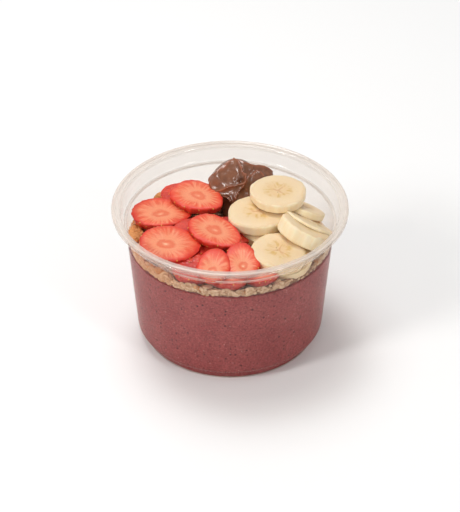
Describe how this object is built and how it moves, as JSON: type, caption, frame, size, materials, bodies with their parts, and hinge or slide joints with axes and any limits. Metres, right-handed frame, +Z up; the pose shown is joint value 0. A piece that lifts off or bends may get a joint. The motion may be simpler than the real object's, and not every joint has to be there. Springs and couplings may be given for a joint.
{
  "type": "acai bowl",
  "caption": "Round clear plastic tub of blended acai topped with granola, strawberry slices, banana slices and a dollop of chocolate spread; stands on its base ring.",
  "frame": {"origin": "middle of the ring on which the tub stands", "axes": "+Z up; +X to the right of the eater, whose side shows the strawberries at the left and the bananas at the right; -Y towards the eater"},
  "size_m": [0.117, 0.117, 0.0826],
  "materials": {
    "clear_plastic": "clear, slightly milky, glossy",
    "acai": "dense blended fruit, moist",
    "granola": "dry toasted flakes",
    "strawberry": "moist cut fruit",
    "banana": "moist cut fruit",
    "chocolate": "glossy soft spread"
  },
  "bodies": {
    "root": {"tub": "clear_plastic", "acai": "acai", "granola": "granola", "chocolate": "chocolate", "strawberry_back": "strawberry", "strawberry_middle": "strawberry", "strawberry_front_big": "strawberry", "strawberry_left": "strawberry", "strawberry_front_side": "strawberry", "strawberry_front_half": "strawberry", "strawberry_front_low": "strawberry", "strawberry_front_low_left": "strawberry", "strawberry_front_low_right": "strawberry", "strawberry_back_low": "strawberry", "strawberry_middle_low": "strawberry", "strawberry_left_low": "strawberry", "strawberry_deep": "strawberry", "banana_top": "banana", "banana_middle": "banana", "banana_right": "banana", "banana_front": "banana", "banana_right_thin": "banana", "banana_right_back": "banana", "banana_front_low": "banana", "banana_middle_low": "banana"}
  },
  "joints": []
}
